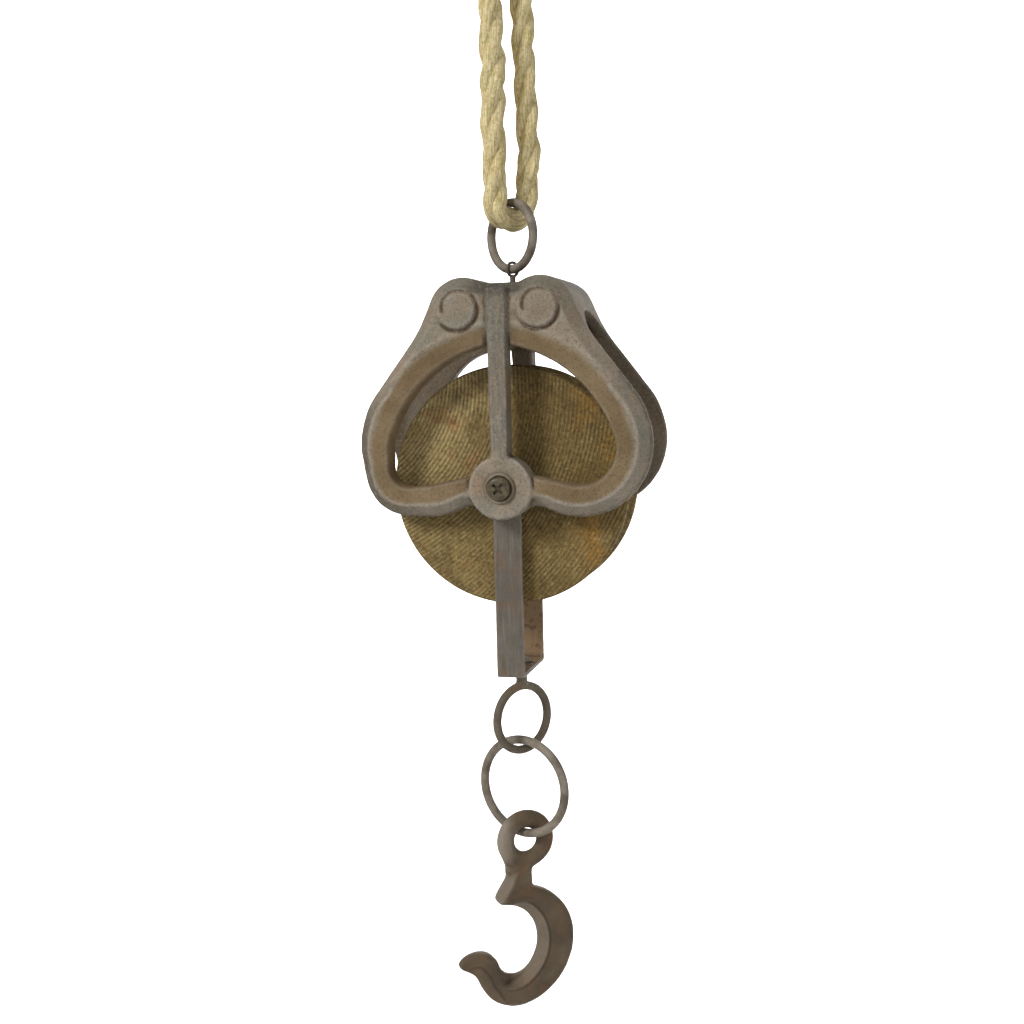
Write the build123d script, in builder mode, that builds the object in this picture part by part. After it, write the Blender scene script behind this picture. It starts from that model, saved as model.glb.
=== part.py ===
from build123d import *
import math
import os

os.makedirs("parts", exist_ok=True)

# Millimetres, +Z up. The origin is the inside top of the rope sling, where the block is hung.
# The photograph looks along +Y, so the front of the block faces -Y.

# Fits
running_gap = 0.05
seat_gap = 0.05
side_gap = 0.3
hang_gap = 0.3

# Rope sling, an endless loop
rope_d = 10.5
rope_drop = 90.5
rope_heading = 46.5
rope_slack = 0.5

# Top ring
ring_wire = 4.0
ring_r = 14.3
ring_heading = -37.0

# Hanger eye with its washer and nut under the crown
eye_wire = 1.3
eye_hole_r = 2.35
eye_neck = 1.7
hanger_r = 1.3
hanger_washer_r = 3.5
hanger_washer_t = 0.8
hanger_nut_flats = 5.5
hanger_nut_t = 2.4
hanger_tail = 1.2

# Outline of the two cheek castings, about the axle
mound_top = 88.0
mound_r = 5.7
mound_taper = 25.0
valley_z = 86.5
shoulder_x = 16.8
shoulder_z = 74.2
shoulder_r = 15.1
flank_r = 140.0
lobe_x = 33.0
lobe_z = 18.2
lobe_r = 31.2
hub_r = 13.8
hub_blend = 8.0

# Heart opening in each cheek
corner_x = 33.5
corner_z = 16.6
corner_r = 15.5
arch_r = 57.5
arch_lean = 18.5
sill_rise = 12.4

# Depths of the cheeks from the mid plane
cheek_back = 20.7
cheek_t = 10.3
bevel_in = 5.2
bevel_deep = 7.0
cove_in = 7.2
cove_deep = 3.0
hub_front = 32.2
hub_edge = 0.8

# Centre bar and scrolls on the front of each cheek
bar_back = 22.7
bar_front = 33.0
bar_low = 11.0
bar_high = 84.2
bar_low_w = 7.4
bar_high_w = 9.2
bar_edge = 0.7
scroll_x = 17.4
scroll_z = 75.4
scroll_r = 8.3
scroll_t = 1.2
scroll_turns = (6.4, 4.9, 3.4)
scroll_groove = 1.1
scroll_groove_deep = 0.8

# Crown roof that joins the cheeks over the sheave
crown_t = 5.0
crown_side_z = 64.0
crown_mid_z = 74.5
seat_z = 79.5
seat_r = 4.6

# Axle: an M5 pan head screw through a sleeve
screw_r = 2.5
screw_head_r = 5.0
screw_head_t = 3.2
screw_head_edge = 1.6
screw_tail = 1.6
recess_w = 1.3
recess_span = 5.6
recess_deep = 1.4
axle_washer_r = 6.6
axle_washer_t = 1.2
axle_washer_seat = 1.0
axle_nut_flats = 8.0
axle_nut_t = 4.0
sleeve_r = 4.0

# Wooden sheave on its bush
sheave_r = 52.0
sheave_half = 14.26
groove_w = 19.0
groove_deep = 3.5
sheave_edge = 0.8
bush_r = 8.0
spacer_r = 7.6

# Becket strap, a flat bar bent to a U that hangs on the sleeve
strap_w = 12.5
strap_t = 2.0
strap_drop = 84.0
strap_bend = 1.6

# Swivel eye in the strap, with a washer under its peened head
swivel_r = 14.6
swivel_wire = 4.0
swivel_heading = 53.0
swivel_shank_r = 2.6
swivel_neck = 5.7
swivel_head_r = 4.2
swivel_head_t = 2.4
swivel_head_edge = 1.9
swivel_washer_r = 5.4
swivel_washer_t = 1.0

# Lower link
link_r = 21.5
link_wire = 4.0
link_heading = -20.0

# Hook, drawn about its eye
hook_heading = 35.5
hook_eye_hole_r = 5.4
hook_eye_w = 8.4
hook_eye_t = 6.0
hook_t = 9.0
hook_bevel = 2.0
hook_widest_z = -47.0
hook_back_x = 22.4
hook_back_r = 25.9
hook_belly_r = 30.2
hook_heel_r = 19.4
hook_heel_turn = -77.5
hook_under_r = 13.5
hook_tip_x = -24.5
hook_tip_z = -59.0
hook_tip_r = 10.2
hook_nose_r = 2.4
hook_nose_turn = 138.6
hook_throat_r = 8.7
hook_bowl_x = -13.2
hook_bowl_z = -46.8
hook_bowl_r = 18.2
hook_beak_r = 3.2
hook_beak_turn = 86.0
hook_flare_x = -9.7
hook_flare_z = -16.5
hook_flare_blend = 5.0
hook_neck_x = 2.4
hook_neck_z = -12.0
hook_nape_blend = 3.0

# Levels, worked down from the hanging point
loop_r = ring_wire / 2 + hang_gap + rope_slack + rope_d / 2
loop_top_z = rope_d / 2 - loop_r
bight_z = loop_top_z - rope_drop
ring_top_z = bight_z - rope_slack
ring_z = ring_top_z - ring_r
eye_z = ring_z - ring_r - eye_hole_r + hang_gap + ring_wire / 2
mound_z = eye_z - eye_hole_r - eye_wire - eye_neck
axle_z = mound_z - mound_top
plate_z = axle_z - strap_drop
swivel_z = plate_z - swivel_neck - swivel_wire / 2 - swivel_r
link_z = swivel_z - swivel_r + swivel_wire / 2 + hang_gap + link_wire / 2 - link_r
hook_z = link_z - link_r + link_wire / 2 + hang_gap - hook_eye_hole_r


def upright(heading, z):
    """Vertical plane through the hanging line at height z, its X along the heading and its Y up."""
    turn = math.radians(heading)
    across = (math.cos(turn), math.sin(turn), 0)
    return Plane((0, 0, z), x_dir=across, z_dir=(math.sin(turn), -math.cos(turn), 0))


def facing(depth):
    """Plane about the axle that faces the front, at the given depth in front of the mid plane."""
    return Plane((0, -depth, axle_z), x_dir=(1, 0, 0), z_dir=(0, -1, 0))


def hollow_centre(low, low_r, high, high_r, radius):
    """Centre of an arc that touches two circles from outside, on the right of the way from low to high."""
    apart = (high - low).length
    along = (high - low).normalized()
    reach = ((radius + low_r) ** 2 - (radius + high_r) ** 2 + apart**2) / (2 * apart)
    return low + along * reach + Vector(along.Y, -along.X) * math.sqrt((radius + low_r) ** 2 - reach**2)


def arc_about(centre, radius, start, end):
    """Arc about a centre, the short way from the direction of start to that of end."""
    first = math.degrees(math.atan2(start.Y - centre.Y, start.X - centre.X))
    last = math.degrees(math.atan2(end.Y - centre.Y, end.X - centre.X))
    return CenterArc(centre, radius, first, (last - first + 180) % 360 - 180)


def toward(centre, distance, turn):
    """Point at a distance from a centre, in the direction turn in degrees."""
    angle = math.radians(turn)
    return centre + Vector(math.cos(angle), math.sin(angle)) * distance


def frame_outline(inset):
    """Outline of a cheek about the axle, drawn in by inset."""
    hub = Vector(0, 0)
    lobe = Vector(lobe_x, lobe_z)
    shoulder = Vector(shoulder_x, shoulder_z)
    blend = hollow_centre(hub, hub_r, lobe, lobe_r, hub_blend)
    flank = hollow_centre(lobe, lobe_r, shoulder, shoulder_r, flank_r)
    top = valley_z - inset
    valley = Vector(shoulder_x - math.sqrt((shoulder_r - inset) ** 2 - (top - shoulder_z) ** 2), top)
    with BuildSketch() as outline:
        with BuildLine():
            arc_about(hub, hub_r - inset, Vector(0, -hub_r), blend)
            arc_about(blend, hub_blend + inset, hub, lobe)
            arc_about(lobe, lobe_r - inset, blend, flank)
            arc_about(flank, flank_r + inset, lobe, shoulder)
            arc_about(shoulder, shoulder_r - inset, flank, valley)
            Line(valley, (0, top))
            mirror(about=Plane.YZ)
        make_face()
    return outline.sketch


def heart_opening():
    """Outline of the opening in a cheek about the axle."""
    lean = math.radians(arch_lean)
    rise = math.radians(sill_rise)
    arch_x = corner_x - (arch_r - corner_r) * math.cos(lean)
    arch_z = corner_z - (arch_r - corner_r) * math.sin(lean)
    peak = (0, arch_z + math.sqrt(arch_r**2 - arch_x**2))
    spring = (arch_x + arch_r * math.cos(lean), arch_z + arch_r * math.sin(lean))
    haunch_turn = (lean + math.atan2(peak[1] - arch_z, -arch_x)) / 2
    haunch = (arch_x + arch_r * math.cos(haunch_turn), arch_z + arch_r * math.sin(haunch_turn))
    side_turn = (lean - math.pi / 2 - rise) / 2
    side = (corner_x + corner_r * math.cos(side_turn), corner_z + corner_r * math.sin(side_turn))
    sill = (corner_x - corner_r * math.sin(rise), corner_z - corner_r * math.cos(rise))
    notch = (0, sill[1] + sill[0] * math.tan(rise))
    with BuildSketch() as opening:
        with BuildLine():
            ThreePointArc(peak, haunch, spring)
            ThreePointArc(spring, side, sill)
            Line(sill, notch)
            mirror(about=Plane.YZ)
        make_face()
    return opening.sketch


# Rope sling
rope_turn = math.radians(rope_heading)
run_x = loop_r * math.cos(rope_turn)
run_y = loop_r * math.sin(rope_turn)
with BuildPart() as rope_sling:
    with BuildSketch(Plane.XY.offset(bight_z)):
        with Locations((run_x, run_y), (-run_x, -run_y)):
            Circle(rope_d / 2)
    extrude(amount=rope_drop)
    with BuildSketch(Plane.XY.offset(bight_z)):
        with Locations((run_x, run_y)):
            Circle(rope_d / 2)
    revolve(axis=Axis((0, 0, bight_z), (-run_y, run_x, 0)), revolution_arc=180)
    with BuildSketch(Plane.XY.offset(loop_top_z)):
        with Locations((run_x, run_y)):
            Circle(rope_d / 2)
    revolve(axis=Axis((0, 0, loop_top_z), (run_y, -run_x, 0)), revolution_arc=180)

# Top ring
with BuildPart(upright(ring_heading, ring_z)) as top_ring:
    Torus(ring_r, ring_wire / 2)

# Hanger eye: its loop stands across the ring's wire, its shank goes down through the crown
seat_level = axle_z + seat_z
hanger_foot = seat_level - hanger_washer_t - hanger_nut_t - hanger_tail
with BuildPart(upright(ring_heading + 90, eye_z)) as hanger_eye:
    Torus(eye_hole_r + eye_wire / 2, eye_wire / 2)
with hanger_eye:
    with BuildSketch(Plane.XY.offset(hanger_foot)):
        Circle(hanger_r)
    extrude(amount=eye_z - eye_hole_r - eye_wire / 2 - hanger_foot)

with BuildPart() as hanger_washer:
    with BuildSketch(Plane.XY.offset(seat_level - hanger_washer_t)):
        Circle(hanger_washer_r)
        Circle(hanger_r + seat_gap, mode=Mode.SUBTRACT)
    extrude(amount=hanger_washer_t)

with BuildPart() as hanger_nut:
    with BuildSketch(Plane.XY.offset(seat_level - hanger_washer_t - hanger_nut_t)):
        RegularPolygon(hanger_nut_flats / 2, 6, major_radius=False)
        Circle(hanger_r + seat_gap, mode=Mode.SUBTRACT)
    extrude(amount=hanger_nut_t)

# Front cheek with its half of the crown roof
cheek_front = cheek_back + cheek_t
with BuildPart() as front_cheek:
    with BuildSketch(facing(0)):
        add(frame_outline(0))
        add(frame_outline(crown_t), mode=Mode.SUBTRACT)
    extrude(amount=cheek_back)
    # The free edges of the roof are arched from cheek to cheek
    with BuildSketch(Plane.YZ.offset(-lobe_x - lobe_r)):
        with BuildLine():
            ThreePointArc(
                (-cheek_back, axle_z + crown_side_z),
                (0, axle_z + crown_mid_z),
                (cheek_back, axle_z + crown_side_z),
            )
            Polyline(
                (cheek_back, axle_z + crown_side_z),
                (cheek_back, axle_z - lobe_r),
                (-cheek_back, axle_z - lobe_r),
                (-cheek_back, axle_z + crown_side_z),
            )
        make_face()
    extrude(amount=2 * (lobe_x + lobe_r), mode=Mode.SUBTRACT)
    # Plate with its bevelled rim
    with BuildSketch(facing(cheek_back)):
        add(frame_outline(0))
    extrude(amount=cheek_t - bevel_deep)
    with BuildSketch(facing(cheek_front - bevel_deep)):
        add(frame_outline(0))
    with BuildSketch(facing(cheek_front)):
        add(frame_outline(bevel_in))
    loft(ruled=True)
    # Heart opening with a coved edge
    with BuildSketch(facing(cheek_back)):
        add(heart_opening())
    extrude(amount=cheek_t, mode=Mode.SUBTRACT)
    face = front_cheek.faces().sort_by(Axis.Y)[0]
    chamfer(face.inner_wires()[0].edges(), length=cove_in, length2=cove_deep, reference=face)
    # Hub
    with BuildSketch(facing(cheek_back)):
        Circle(hub_r)
    extrude(amount=hub_front - cheek_back)
    rim = front_cheek.faces().sort_by(Axis.Y)[0].outer_wire().edges()
    fillet(rim, hub_edge)
    # Centre bar
    with BuildSketch(facing(bar_back)):
        with BuildLine():
            Polyline(
                (-bar_low_w / 2, bar_low),
                (bar_low_w / 2, bar_low),
                (bar_high_w / 2, bar_high),
                (-bar_high_w / 2, bar_high),
                close=True,
            )
        make_face()
    extrude(amount=bar_front - bar_back)
    rim = front_cheek.faces().sort_by(Axis.Y)[0].outer_wire().edges()
    chamfer(rim, bar_edge)
    # Scrolls
    with BuildSketch(facing(cheek_front)):
        with Locations((scroll_x, scroll_z), (-scroll_x, scroll_z)):
            Circle(scroll_r)
    extrude(amount=scroll_t)
    for side in (1, -1):
        with BuildSketch(facing(cheek_front + scroll_t)):
            with BuildLine():
                start = Vector(side * (scroll_x - scroll_turns[0]), scroll_z)
                aim = Vector(0, 1)
                for radius in scroll_turns:
                    turn = JernArc(start, aim, radius, -side * 180)
                    start, aim = turn @ 1, turn % 1
            trace(line_width=scroll_groove)
        extrude(amount=-scroll_groove_deep, mode=Mode.SUBTRACT)
    # Mound and seat for the hanger eye, and the holes
    with BuildSketch(Plane.XY.offset(axle_z + valley_z - crown_t / 2)):
        Circle(mound_r)
    extrude(amount=mound_top - valley_z + crown_t / 2, taper=mound_taper)
    with BuildSketch(Plane.XY.offset(seat_level)):
        Circle(seat_r)
    extrude(amount=valley_z - crown_t / 2 - seat_z)
    with BuildSketch(Plane.XY.offset(seat_level)):
        Circle(hanger_r + seat_gap)
    extrude(amount=mound_top - seat_z, mode=Mode.SUBTRACT)
    with BuildSketch(facing(cheek_back)):
        Circle(screw_r + seat_gap)
    extrude(amount=hub_front - cheek_back, mode=Mode.SUBTRACT)
    with BuildSketch(facing(hub_front)):
        Circle(axle_washer_r + seat_gap)
    extrude(amount=-axle_washer_seat, mode=Mode.SUBTRACT)
    split(bisect_by=Plane.XZ, keep=Keep.TOP)

# Rear cheek
with BuildPart() as rear_cheek:
    mirror(front_cheek.part, about=Plane.XZ)

# Axle screw with a cross recess, its washers and its nut
head_seat = hub_front - axle_washer_seat + axle_washer_t
with BuildPart() as axle_screw:
    with BuildSketch(facing(head_seat)):
        Circle(screw_head_r)
    extrude(amount=screw_head_t)
    fillet(axle_screw.faces().sort_by(Axis.Y)[0].edges(), screw_head_edge)
    with BuildSketch(facing(head_seat)):
        Circle(screw_r)
    extrude(amount=-2 * head_seat - axle_nut_t - screw_tail)
    with BuildSketch(facing(head_seat + screw_head_t)):
        Rectangle(recess_span, recess_w)
        Rectangle(recess_w, recess_span)
    extrude(amount=-recess_deep, mode=Mode.SUBTRACT)

with BuildPart() as front_axle_washer:
    with BuildSketch(facing(head_seat)):
        Circle(axle_washer_r)
        Circle(screw_r + seat_gap, mode=Mode.SUBTRACT)
    extrude(amount=-axle_washer_t)

with BuildPart() as rear_axle_washer:
    mirror(front_axle_washer.part, about=Plane.XZ)

with BuildPart() as axle_nut:
    with BuildSketch(facing(-head_seat)):
        RegularPolygon(axle_nut_flats / 2, 6, major_radius=False)
        Circle(screw_r + seat_gap, mode=Mode.SUBTRACT)
    extrude(amount=-axle_nut_t)

# Sleeve clamped between the hubs
with BuildPart() as axle_sleeve:
    with BuildSketch(facing(cheek_back)):
        Circle(sleeve_r)
        Circle(screw_r + seat_gap, mode=Mode.SUBTRACT)
    extrude(amount=-2 * cheek_back)

# Sheave, turned in wood, and the bush fixed in it
with BuildPart() as sheave:
    with BuildSketch(Plane.XY.offset(axle_z)):
        with BuildLine():
            Polyline(
                (sheave_r, -groove_w / 2),
                (sheave_r, -sheave_half),
                (bush_r + seat_gap, -sheave_half),
                (bush_r + seat_gap, sheave_half),
                (sheave_r, sheave_half),
                (sheave_r, groove_w / 2),
            )
            ThreePointArc(
                (sheave_r, groove_w / 2),
                (sheave_r - groove_deep, 0),
                (sheave_r, -groove_w / 2),
            )
        make_face()
    revolve(axis=Axis((0, 0, axle_z), (0, 1, 0)))
    for face in (sheave.faces().sort_by(Axis.Y)[0], sheave.faces().sort_by(Axis.Y)[-1]):
        chamfer(face.outer_wire().edges(), sheave_edge)

with BuildPart() as sheave_bush:
    with BuildSketch(facing(sheave_half)):
        Circle(bush_r)
        Circle(sleeve_r + running_gap, mode=Mode.SUBTRACT)
    extrude(amount=-2 * sheave_half)

# Spacers on the sleeve that keep the sheave between the legs of the strap
strap_out = cheek_back - side_gap
strap_in = strap_out - strap_t
spacer_out = strap_in - side_gap
with BuildPart() as front_spacer:
    with BuildSketch(facing(spacer_out)):
        Circle(spacer_r)
        Circle(sleeve_r + seat_gap, mode=Mode.SUBTRACT)
    extrude(amount=sheave_half + side_gap - spacer_out)

with BuildPart() as rear_spacer:
    mirror(front_spacer.part, about=Plane.XZ)

# Becket strap
with BuildPart() as becket_strap:
    with BuildSketch(Plane.YZ.offset(-strap_w / 2)) as bar:
        with BuildLine():
            Polyline(
                (-strap_out, axle_z),
                (-strap_out, plate_z),
                (strap_out, plate_z),
                (strap_out, axle_z),
                (strap_in, axle_z),
                (strap_in, plate_z + strap_t),
                (-strap_in, plate_z + strap_t),
                (-strap_in, axle_z),
                close=True,
            )
        make_face()
        fillet(bar.vertices().group_by(Axis.Y)[0], strap_bend)
    extrude(amount=strap_w)
    for depth in (strap_out, -strap_in):
        with BuildSketch(facing(depth)):
            Circle(strap_w / 2)
        extrude(amount=-strap_t)
    with BuildSketch(facing(strap_out)):
        Circle(sleeve_r + running_gap)
    extrude(amount=-2 * strap_out, mode=Mode.SUBTRACT)
    with BuildSketch(Plane.XY.offset(plate_z)):
        Circle(swivel_shank_r + running_gap)
    extrude(amount=strap_t, mode=Mode.SUBTRACT)

# Swivel washer and swivel eye
washer_top = plate_z + strap_t + swivel_washer_t
with BuildPart() as swivel_washer:
    with BuildSketch(Plane.XY.offset(plate_z + strap_t)):
        Circle(swivel_washer_r)
        Circle(swivel_shank_r + running_gap, mode=Mode.SUBTRACT)
    extrude(amount=swivel_washer_t)

with BuildPart(upright(swivel_heading, swivel_z)) as swivel_eye:
    Torus(swivel_r, swivel_wire / 2)
with swivel_eye:
    with BuildSketch(Plane.XY.offset(swivel_z + swivel_r)):
        Circle(swivel_shank_r)
    extrude(amount=washer_top + side_gap + swivel_head_t - swivel_z - swivel_r)
    with BuildSketch(Plane.XY.offset(washer_top + side_gap)):
        Circle(swivel_head_r)
    extrude(amount=swivel_head_t)
    fillet(swivel_eye.faces().sort_by(Axis.Z)[-1].edges(), swivel_head_edge)

# Lower link
with BuildPart(upright(link_heading, link_z)) as lower_link:
    Torus(link_r, link_wire / 2)

# Hook: every arc of its outline touches the next, apart from the neck inside the eye
hook_plane = upright(hook_heading, hook_z)
widest = Vector(hook_back_x, hook_widest_z)
back = widest - Vector(hook_back_r, 0)
belly = widest - Vector(hook_belly_r, 0)
heel = toward(belly, hook_belly_r - hook_heel_r, hook_heel_turn)
tip = Vector(hook_tip_x, hook_tip_z)
nose = toward(tip, hook_tip_r - hook_nose_r, hook_nose_turn)
under = hollow_centre(nose, hook_nose_r, heel, hook_heel_r, hook_under_r)
bowl = Vector(hook_bowl_x, hook_bowl_z)
throat = hollow_centre(tip, hook_tip_r, bowl, -hook_bowl_r, hook_throat_r)
beak = toward(bowl, hook_bowl_r + hook_beak_r, hook_beak_turn)
flare = Vector(hook_flare_x, hook_flare_z)
neck_right = Vector(hook_neck_x, hook_widest_z + math.sqrt(hook_back_r**2 - (hook_neck_x - back.X) ** 2))
rise = flare - beak
nape_turn = math.degrees(math.atan2(rise.Y, rise.X) + math.acos(hook_beak_r / rise.length))
nape = toward(beak, hook_beak_r, nape_turn)
with BuildPart() as hook:
    with BuildSketch(hook_plane.offset(-hook_t / 2)) as profile:
        with BuildLine():
            arc_about(back, hook_back_r, neck_right, widest)
            arc_about(belly, hook_belly_r, widest, heel)
            arc_about(heel, hook_heel_r, heel + heel - belly, under)
            arc_about(under, hook_under_r, heel, nose)
            arc_about(nose, hook_nose_r, under, nose + nose - tip)
            arc_about(tip, hook_tip_r, nose, throat)
            arc_about(throat, hook_throat_r, tip, throat + throat - bowl)
            arc_about(bowl, hook_bowl_r, throat, beak)
            arc_about(beak, hook_beak_r, bowl, nape)
            Polyline(nape, flare, (hook_flare_x, hook_neck_z), (hook_neck_x, hook_neck_z), neck_right)
        make_face()
        fillet(profile.vertices().sort_by_distance(neck_right)[0], hook_nape_blend)
        fillet(profile.vertices().sort_by_distance(flare)[0], hook_flare_blend)
    extrude(amount=hook_t)
    flats = hook.faces().filter_by(Axis((0, 0, 0), hook_plane.z_dir))
    chamfer([flat.edges().sort_by(SortBy.LENGTH)[-1] for flat in flats], hook_bevel)
    # Eye of oval section round the link's wire
    with BuildSketch(Plane(hook_plane.origin, x_dir=hook_plane.x_dir, z_dir=(0, 0, -1))):
        with Locations((hook_eye_hole_r + hook_eye_w / 2, 0)):
            SlotOverall(hook_eye_w, hook_eye_t)
    revolve(axis=Axis(hook_plane.origin, hook_plane.z_dir))

pieces = {
    "rope_sling": rope_sling,
    "top_ring": top_ring,
    "hanger_eye": hanger_eye,
    "hanger_washer": hanger_washer,
    "hanger_nut": hanger_nut,
    "front_cheek": front_cheek,
    "rear_cheek": rear_cheek,
    "axle_screw": axle_screw,
    "front_axle_washer": front_axle_washer,
    "rear_axle_washer": rear_axle_washer,
    "axle_nut": axle_nut,
    "axle_sleeve": axle_sleeve,
    "sheave": sheave,
    "sheave_bush": sheave_bush,
    "front_spacer": front_spacer,
    "rear_spacer": rear_spacer,
    "becket_strap": becket_strap,
    "swivel_washer": swivel_washer,
    "swivel_eye": swivel_eye,
    "lower_link": lower_link,
    "hook": hook,
}
for name, piece in pieces.items():
    piece.part.label = name
    export_step(piece.part, f"parts/{name}.step")
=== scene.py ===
import itertools
import math

import bmesh
import bpy
import numpy as np
from mathutils import Matrix, Vector


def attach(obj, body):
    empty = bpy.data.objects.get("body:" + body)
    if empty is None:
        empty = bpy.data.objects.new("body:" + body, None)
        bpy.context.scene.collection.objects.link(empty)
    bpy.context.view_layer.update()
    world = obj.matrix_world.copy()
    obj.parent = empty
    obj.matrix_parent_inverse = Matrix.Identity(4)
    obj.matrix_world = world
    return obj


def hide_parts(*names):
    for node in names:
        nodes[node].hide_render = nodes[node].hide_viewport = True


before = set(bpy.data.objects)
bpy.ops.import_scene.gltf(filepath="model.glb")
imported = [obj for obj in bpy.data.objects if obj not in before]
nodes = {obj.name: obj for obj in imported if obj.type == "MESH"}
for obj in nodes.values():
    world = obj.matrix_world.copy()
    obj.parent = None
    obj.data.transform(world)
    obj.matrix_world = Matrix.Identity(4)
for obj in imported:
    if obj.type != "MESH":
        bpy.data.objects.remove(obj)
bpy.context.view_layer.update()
mm = 0.001
full_turn = 2 * math.pi

# Levels and headings of the model
axle_z = -215.8 * mm
rope_heading = math.radians(46.5)

# Rope sling: one strand that goes round the loop three times, with its yarns
rope_step = 0.7 * mm
strands = 3
strand_r = 3.0 * mm
strand_offset = 2.3 * mm
rope_turns = 13 / 3
yarns = 12
yarn_turns = 19

# Outline of the casting about the axle, in millimetres: circles as X, Z and radius
lobe = (33.0, 18.2, 31.2)
shoulder = (16.8, 74.2, 15.1)
hub = (0.0, 0.0, 13.8)
flank_r = 140.0
hub_blend = 8.0
valley_z = 86.5
corner = (33.5, 16.6, 15.5)
arch_r = 57.5
arch_lean = math.radians(18.5)
sill_rise = math.radians(12.4)
bevel_in = 5.2
plate_front = 31.0
scroll = (17.4, 75.4, 8.3)
scroll_up = 1.2
bar_half = 4.6
screw_turn = math.radians(40.0)

# The cove of the solids, the wider one that the scene gives the casting, and where its front faces begin
cove_in = 7.2
cove_deep = 3.0
wide_cove = 9.6
cove_crest = 9.8
face_from = 26.5

# Where the casting departs from its symmetrical solids, in millimetres and degrees
flank_swell = 1.6
lobe_swell = 3.4
lobe_swell_turn = 229
bar_lean = 1.9
bar_widening = 1.3
arch_opening = 3.0
arch_opening_turn = 127.0

# Saw marks of the wheel, in metres: their centre from the axle, and the steps of the rings and the scratches
saw_centre = (-0.080, 0.046)
saw_step = 0.0017
scratch_step = 0.0031

# Sizes of the faces of the evened pieces
casting_voxel = 0.74 * mm
strap_voxel = 0.5 * mm
hook_voxel = 0.45 * mm

# Outline of the hook about its eye, in millimetres across and up: circles with their radius, and lines
hook_z = -378.5 * mm
hook_heading = math.radians(35.5)
hook_half = 4.5
hook_bowl = (-13.2, -46.8, 18.2)
hook_nose = (-30.35, -53.84, 2.4)
hook_heel = (-5.46, -57.54, 19.4)
hook_under_r = 13.5
eye_mid = 9.6
eye_half = 4.2
eye_low = -12.0
neck_levels = (-17.0, -13.0, -9.0, -6.0)
neck_reach = (9.7, 9.8, 11.2, 12.4)
nape = (-14.6, -24.1)
nape_normal = (0.841, -0.542)
hook_across = np.array([math.cos(hook_heading), math.sin(hook_heading), 0.0])
hook_facing = np.array([math.sin(hook_heading), -math.cos(hook_heading), 0.0])
upward = np.array([0.0, 0.0, 1.0])


class Look:
    """A node material on one Principled shader, with short calls for the nodes that feed it."""

    def __init__(self, name, roughness, specular):
        self.material = bpy.data.materials.new(name)
        self.material.use_nodes = True
        self.tree = self.material.node_tree
        self.shader = self.tree.nodes["Principled BSDF"]
        self.shader.inputs["Roughness"].default_value = roughness
        self.shader.inputs["Specular IOR Level"].default_value = specular

    def node(self, kind, inputs=(), **settings):
        made = self.tree.nodes.new("ShaderNode" + kind)
        for name, value in settings.items():
            setattr(made, name, value)
        for name, value in dict(inputs).items():
            if isinstance(value, bpy.types.NodeSocket):
                self.tree.links.new(value, made.inputs[name])
            else:
                made.inputs[name].default_value = value
        return made

    def feed(self, name, socket):
        self.tree.links.new(socket, self.shader.inputs[name])

    def place(self):
        return self.node("TexCoord").outputs["Object"]

    def stretched(self, vector, scale):
        return self.node("Mapping", {"Vector": vector, "Scale": scale}).outputs["Vector"]

    def noise(self, vector, scale, detail=4.0, roughness=0.55, distortion=0.0):
        settings = {
            "Vector": vector,
            "Scale": scale,
            "Detail": detail,
            "Roughness": roughness,
            "Distortion": distortion,
        }
        return self.node("TexNoise", settings).outputs["Fac"]

    def streaks(self, vector, scale, **settings):
        return self.noise(self.stretched(vector, scale), 1.0, **settings)

    def attribute(self, name):
        return self.node("Attribute", attribute_name=name).outputs["Fac"]

    def spread(self, value, low, high, to_low=0.0, to_high=1.0):
        settings = {"Value": value, "From Min": low, "From Max": high, "To Min": to_low, "To Max": to_high}
        return self.node("MapRange", settings, clamp=True).outputs["Result"]

    def maths(self, operation, value):
        return self.node("Math", {0: value}, operation=operation).outputs["Value"]

    def sum(self, *values, operation="ADD"):
        total = values[0]
        for value in values[1:]:
            total = self.node("Math", {0: total, 1: value}, operation=operation).outputs["Value"]
        return total

    def times(self, *values):
        return self.sum(*values, operation="MULTIPLY")

    def mix(self, first, second, share):
        made = self.node("Mix", data_type="RGBA")
        for index, value in ((0, share), (6, first), (7, second)):
            if isinstance(value, bpy.types.NodeSocket):
                self.tree.links.new(value, made.inputs[index])
            elif index:
                made.inputs[index].default_value = (*value, 1.0)
            else:
                made.inputs[index].default_value = value
        return made.outputs[2]

    def over(self, colour, display_colour, *shares):
        """A display colour laid over a colour by the product of some shares."""
        return self.mix(colour, srgb(*display_colour), self.times(*shares))

    def relief(self, height, distance, strength, under=None):
        inputs = {"Height": height, "Distance": distance, "Strength": strength}
        if under is not None:
            inputs["Normal"] = under
        return self.node("Bump", inputs).outputs["Normal"]


def srgb(red, green, blue):
    """Linear colour of a display colour from 0 to 255."""

    def linear(channel):
        share = channel / 255
        return ((share + 0.055) / 1.055) ** 2.4 if channel > 10 else share / 12.92

    return tuple(linear(channel) for channel in (red, green, blue))


def linked(name, mesh):
    made = bpy.data.objects.new(name, mesh)
    bpy.context.scene.collection.objects.link(made)
    return made


def points_of(mesh):
    places = np.empty(len(mesh.vertices) * 3)
    mesh.vertices.foreach_get("co", places)
    return places.reshape(-1, 3)


def normals_of(mesh):
    normals = np.empty(len(mesh.vertices) * 3)
    mesh.vertex_normals.foreach_get("vector", normals)
    return normals.reshape(-1, 3)


def set_points(mesh, places):
    mesh.vertices.foreach_set("co", places.ravel())
    mesh.update()


def edges_of(mesh):
    pairs = np.empty(len(mesh.edges) * 2, dtype=np.int64)
    mesh.edges.foreach_get("vertices", pairs)
    return pairs.reshape(-1, 2)


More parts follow.
